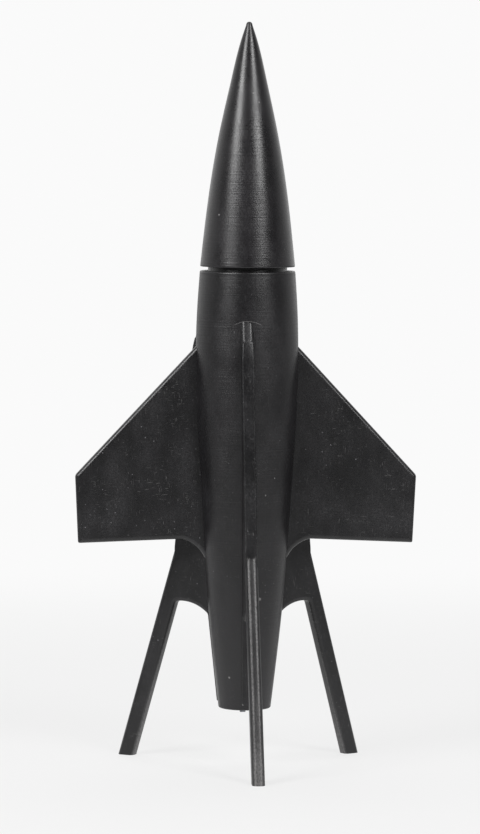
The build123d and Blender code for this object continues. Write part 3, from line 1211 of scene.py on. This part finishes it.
@dataclass(frozen=True)
class SoftBox:
    """A rectangular light that faces the rocket's middle.

    Attributes:
        name: the light's name.
        azimuth: degrees from the front towards the right.
        elevation: degrees above the rocket's middle.
        away: distance from the rocket's middle, in metres.
        size: width and height, in metres.
        power: in watts.
        aim_height: height of the rocket's middle above the ground, in metres.
    """

    name: str
    azimuth: float
    elevation: float
    away: float
    size: Pair
    power: float
    aim_height: float = 0.2

    def build(self) -> None:
        """Make the light, in its direction (sin a cos e, -cos a cos e, sin e) from the middle."""
        data = bpy.data.lights.new(self.name, "AREA")
        data.shape = "RECTANGLE"
        data.size, data.size_y = self.size
        data.energy = self.power
        made = bpy.data.objects.new(self.name, data)
        bpy.context.scene.collection.objects.link(made)
        a, e = math.radians(self.azimuth), math.radians(self.elevation)
        way = Vector((math.sin(a) * math.cos(e), -math.cos(a) * math.cos(e), math.sin(e)))
        middle = Vector((0, 0, GROUND + self.aim_height))
        look = (-way).to_track_quat("-Z", "Y").to_matrix().to_4x4()
        made.matrix_world = Matrix.Translation(middle + way * self.away) @ look


@dataclass
class Studio:
    """Pale floor, soft boxes, white surroundings, and the camera.

    Attributes:
        distance: from the camera to the axis, in metres.
        height: of the camera above the ground.
        turn: degrees that the camera stands to the left of the front leg.
        aim_height: height that the camera looks at.
        aim_left: how far left of the axis it looks.
        roll: degrees that the camera is tilted.
        lens: focal length, in millimetres.
        sensor: width of the camera's sensor, in millimetres.
        white: brightness of the surroundings in view.
        front_white: brightness that mirrors from the front.
        mirrored: y of the directions between which what mirrors fades from dim to white.
        floor_glow: the floor's own brightness near the rocket.
        floor_tone: the part of the floor's tone that takes shadows.
        floor_mirrored: share of the far floor's glow that mirrors.
        floor_rings: radii of the floor's rings, in metres.
        floor_columns: number of steps round the floor.
        soft_boxes: the lights.
    """

    distance: float = 2.2
    height: float = 0.354
    turn: float = 5.0
    aim_height: float = 0.1924
    aim_left: float = 0.0036
    roll: float = 0.40
    lens: float = 173.0
    sensor: float = 36.0
    white: float = 0.957
    front_white: float = 0.03
    mirrored: Pair = (-0.50, 0.95)
    floor_glow: float = 0.74
    floor_tone: float = 0.12
    floor_mirrored: float = 0.3
    floor_rings: tuple[float, ...] = (0.0, 0.3, 0.8, 1.6, 3.0, 6.0)
    floor_columns: int = 96
    soft_boxes: tuple[SoftBox, ...] = (
        SoftBox("left_soft_box", -52, 34, 1.7, (0.65, 1.0), 23.5),
        SoftBox("right_soft_box", 33, 34, 1.7, (0.5, 1.0), 19),
        SoftBox("top_soft_box", 170, 60, 2.0, (1.2, 1.2), 12),
    )

    def camera(self) -> None:
        """Camera a little above the rocket's middle, and to the left of its front leg."""
        turn = math.radians(self.turn)
        ahead = Vector((math.sin(turn), math.cos(turn), 0))
        right = Vector((math.cos(turn), -math.sin(turn), 0))
        place = -ahead * self.distance - right * self.aim_left + Vector((0, 0, GROUND + self.height))
        aim = -right * self.aim_left + Vector((0, 0, GROUND + self.aim_height))
        data = bpy.data.cameras.new("camera")
        data.lens = self.lens
        data.sensor_width = self.sensor
        data.clip_start = 0.05
        data.clip_end = 50.0
        made = bpy.data.objects.new("camera", data)
        bpy.context.scene.collection.objects.link(made)
        look = (aim - place).to_track_quat("-Z", "Y").to_matrix().to_4x4()
        roll = Matrix.Rotation(math.radians(self.roll), 4, "Z")
        made.matrix_world = Matrix.Translation(place) @ look @ roll
        bpy.context.scene.camera = made

    def surroundings(self) -> None:
        """White all round for the camera; for reflections, white behind and dim in front.

        The share of white goes from low in front (-Y) to high behind by the direction's y.
        """
        world = bpy.data.worlds.new("studio")
        world.use_nodes = True
        tree = world.node_tree
        tree.nodes.clear()
        output = tree.nodes.new("ShaderNodeOutputWorld")
        background = tree.nodes.new("ShaderNodeBackground")
        tree.links.new(background.outputs[0], output.inputs[0])
        coordinates = tree.nodes.new("ShaderNodeTexCoord")
        split = tree.nodes.new("ShaderNodeSeparateXYZ")
        tree.links.new(coordinates.outputs["Generated"], split.inputs[0])
        fade = tree.nodes.new("ShaderNodeMapRange")
        fade.interpolation_type = "SMOOTHSTEP"
        limits = (*self.mirrored, self.front_white, 1.0)
        for key, value in zip(("From Min", "From Max", "To Min", "To Max"), limits):
            fade.inputs[key].default_value = value
        tree.links.new(split.outputs["Y"], fade.inputs["Value"])
        path = tree.nodes.new("ShaderNodeLightPath")
        choose = tree.nodes.new("ShaderNodeMix")
        tree.links.new(path.outputs["Is Camera Ray"], choose.inputs[0])
        tree.links.new(fade.outputs[0], choose.inputs[2])
        choose.inputs[3].default_value = self.white
        tree.links.new(choose.outputs[0], background.inputs["Strength"])
        background.inputs["Color"].default_value = (1.0, 1.0, 1.0, 1)
        bpy.context.scene.world = world

    def floor(self) -> None:
        """A wide pale disc of rings that fades into the white surroundings behind and at its rim."""
        radius = np.array(self.floor_rings)
        columns = self.floor_columns
        angle = np.arange(columns) * TAU / columns
        x = radius[:, None] * np.cos(angle)
        y = radius[:, None] * np.sin(angle)
        vertices = np.stack([x, y, np.full_like(x, GROUND)], axis=2).reshape(-1, 3)
        piece = make_object("studio_floor", vertices, grid_faces(len(radius), columns, False).tolist())
        if piece.data.polygons[0].normal.z < 0:
            piece.data.flip_normals()
        g = Graph("pale_floor")
        away = g.distance((0, 0, GROUND))
        behind = g.axis(1)
        glow = g.largest(
            g.ramp(away, 0.6, 2.4, self.floor_glow, self.white),
            g.ramp(behind, -0.10, 1.0, self.floor_glow, self.white),
        )
        bleached = g.largest(g.ramp(away, 0.4, 2.0), g.ramp(behind, -0.10, 0.8))
        g.set(g.shader, "Base Color", g.mix(bleached, (*[self.floor_tone] * 3, 1), (0, 0, 0, 1)))
        g.set(g.shader, "Roughness", 0.8)
        g.set(g.shader, "Specular IOR Level", 0.0)
        g.set(g.shader, "Emission Color", (1, 1, 1, 1))
        mirrored = g.math("MULTIPLY", glow, g.ramp(away, 0.25, 0.9, 1.0, self.floor_mirrored))
        seen = g.node("LightPath").outputs["Is Camera Ray"]
        g.set(g.shader, "Emission Strength", g.blend(seen, mirrored, glow))
        piece.data.materials.append(g.material)

    def build(self) -> None:
        """Set up everything that isn't the rocket."""
        scene = bpy.context.scene
        scene.view_settings.view_transform = "Standard"
        self.camera()
        self.surroundings()
        self.floor()
        for soft_box in self.soft_boxes:
            soft_box.build()


# ------------------------------------------------------------------ main


def nose_lacquer() -> Lacquer:
    """Glossy lacquer of the nose, with three nicks."""
    chips = (
        (-0.0171, -0.0152, 0.2713, 0.0007),
        (0.0014, -0.0113, 0.3375, 0.0006),
        (0.0047, -0.0116, 0.3325, 0.0006),
    )
    return Lacquer(
        "lacquered_nose",
        Marks.LATHE,
        colour=(0.0082, 0.0076, 0.0086),
        haze=0.012,
        specks=0.35,
        scratches=0.25,
        chips=chips,
    )


def body_lacquer() -> Lacquer:
    """Satin lacquer of the body, with four nicks and a painted highlight arch over the front leg's top."""
    chips = (
        (0.0062, -0.0199, 0.0613, 0.0012),
        (-0.0097, -0.0133, 0.0172, 0.0008),
        (0.0087, -0.0236, 0.1186, 0.0006),
        (0.0138, -0.0218, 0.1279, 0.0006),
    )
    return Lacquer(
        "lacquered_body",
        Marks.LATHE,
        colour=(0.0062, 0.0058, 0.0066),
        roughness=0.35,
        haze=0.016,
        specks=0.5,
        scratches=0.4,
        chips=chips,
        # a light arch painted as the highlight of a lacquer ridge over the front leg's top
        ridge_highlights=((-0.0020, -0.0272, 0.1996, 0.0142),),
    )


def plate_lacquer() -> Lacquer:
    """Scuffed lacquer of the wings and legs, with painted highlight streaks and rubbing on the rims, and a
    nick at the front rib's foot.
    """
    return Lacquer(
        "lacquered_plates",
        Marks.SHEET,
        roughness=0.34,
        haze=0.032,
        specks=1.0,
        scratches=1.0,
        # painted highlight streaks and rubbing on the rims: faint above the struts, strong down them
        edge_wear_and_highlight=(0.12, 0.9),
        chips=((-0.0028, -0.0154, 0.0020, 0.0013),),
    )


def fitting_finishes() -> dict[str, bpy.types.Material]:
    """Wood, paper and steel finishes of the small parts, by the names that Fittings uses."""
    plywood = Grained("birch_plywood", (0.62, 0.44, 0.26), (0.42, 0.28, 0.15), (40, 40, 700))
    kraft = Grained("kraft_paper", (0.46, 0.33, 0.20), (0.36, 0.25, 0.15), (60, 60, 160))
    white = Grained("white_paper", (0.78, 0.77, 0.74), (0.68, 0.67, 0.64), (50, 50, 90))
    band = Grained("black_paper", (0.03, 0.03, 0.032), (0.045, 0.045, 0.047), (80, 80, 300))
    steel = Metal("bright_steel", (0.62, 0.62, 0.64))
    spring = Metal("spring_steel", (0.30, 0.31, 0.34), 0.34)
    return {
        "plywood": plywood.material(),
        "kraft": kraft.material(),
        "white": white.material(),
        "steel": steel.material(),
        "spring": spring.material(),
        "band": band.material(),
    }


def main() -> None:
    """Build the studio, then every piece of the rocket in order."""
    logging.basicConfig(level=logging.INFO, format="%(name)s: %(message)s")
    Studio().build()
    body = TurnedBody()
    body.build(body_lacquer().material())
    TurnedNose().build(nose_lacquer().material())
    plate_material = plate_lacquer().material()
    Plates(body).build(plate_material)
    Fittings({**fitting_finishes(), "plate": plate_material}).dress()


if __name__ == "__main__":
    main()
